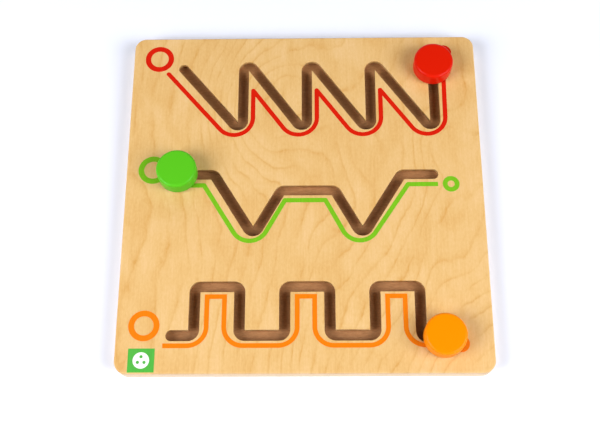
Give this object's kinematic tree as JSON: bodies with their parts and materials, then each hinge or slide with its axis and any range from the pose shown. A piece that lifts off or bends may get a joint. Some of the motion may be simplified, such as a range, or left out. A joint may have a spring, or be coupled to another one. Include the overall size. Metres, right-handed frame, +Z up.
{
  "type": "groove tracing board",
  "caption": "Square wooden tracing board with winding grooves, printed guide lines and captive round knobs that slide along the grooves and turn.",
  "frame": {"origin": "middle of the board's underside", "axes": "+X to the player's right, +Y away from the player, +Z up out of the slotted face"},
  "size_m": [0.3, 0.3, 0.0305],
  "materials": {
    "birch_face": "birch plywood face veneer under clear matt lacquer",
    "birch_core": "birch plywood, routed, edges clear lacquered",
    "zinc_steel": "bright zinc plated",
    "label_green": "printed vinyl film",
    "label_white": "printed vinyl film",
    "brass": "machined",
    "nylon": "moulded nylon",
    "red_ink": "screen printed ink",
    "red_lacquer": "turned beech under gloss lacquer",
    "green_ink": "screen printed ink",
    "green_lacquer": "turned beech under gloss lacquer",
    "orange_ink": "screen printed ink",
    "orange_lacquer": "turned beech under gloss lacquer"
  },
  "bodies": {
    "board": {"face_board": "birch_face", "channel_board": "birch_core", "back_panel": "birch_core", "back_screws": "zinc_steel", "red_guide_print": "red_ink", "green_guide_print": "green_ink", "orange_guide_print": "orange_ink", "corner_label": "label_green", "corner_label_spot": "label_white"},
    "red_runner": {"red_slot_bush": "nylon", "red_slip_washer": "nylon"},
    "red_knob_set": {"red_knob": "red_lacquer", "red_threaded_insert": "brass", "red_retaining_washer": "zinc_steel", "red_knob_screw": "zinc_steel"},
    "green_runner": {"green_slot_bush": "nylon", "green_slip_washer": "nylon"},
    "green_knob_set": {"green_knob": "green_lacquer", "green_threaded_insert": "brass", "green_retaining_washer": "zinc_steel", "green_knob_screw": "zinc_steel"},
    "orange_runner": {"orange_slot_bush": "nylon", "orange_slip_washer": "nylon"},
    "orange_knob_set": {"orange_knob": "orange_lacquer", "orange_threaded_insert": "brass", "orange_retaining_washer": "zinc_steel", "orange_knob_screw": "zinc_steel"}
  },
  "joints": [
    {"name": "red_slide", "type": "slide", "parent": "board", "child": "red_runner", "axis": [0, -1, 0], "range_m": [-0.0036, 0.0496]},
    {"name": "red_turn", "type": "hinge", "parent": "red_runner", "child": "red_knob_set", "pos_m": [0.1123, 0.1182, 0.016], "axis": [0, 0, 1], "continuous": true},
    {"name": "green_slide", "type": "slide", "parent": "board", "child": "green_runner", "axis": [1, 0, 0], "range_m": [-0.0031, 0.0279]},
    {"name": "green_turn", "type": "hinge", "parent": "green_runner", "child": "green_knob_set", "pos_m": [-0.1061, 0.0184, 0.016], "axis": [0, 0, 1], "continuous": true},
    {"name": "orange_slide", "type": "slide", "parent": "board", "child": "orange_runner", "axis": [-1, 0, 0], "range_m": [-0.0016, 0.0128]},
    {"name": "orange_turn", "type": "hinge", "parent": "orange_runner", "child": "orange_knob_set", "pos_m": [0.1103, -0.1221, 0.016], "axis": [0, 0, 1], "continuous": true}
  ]
}
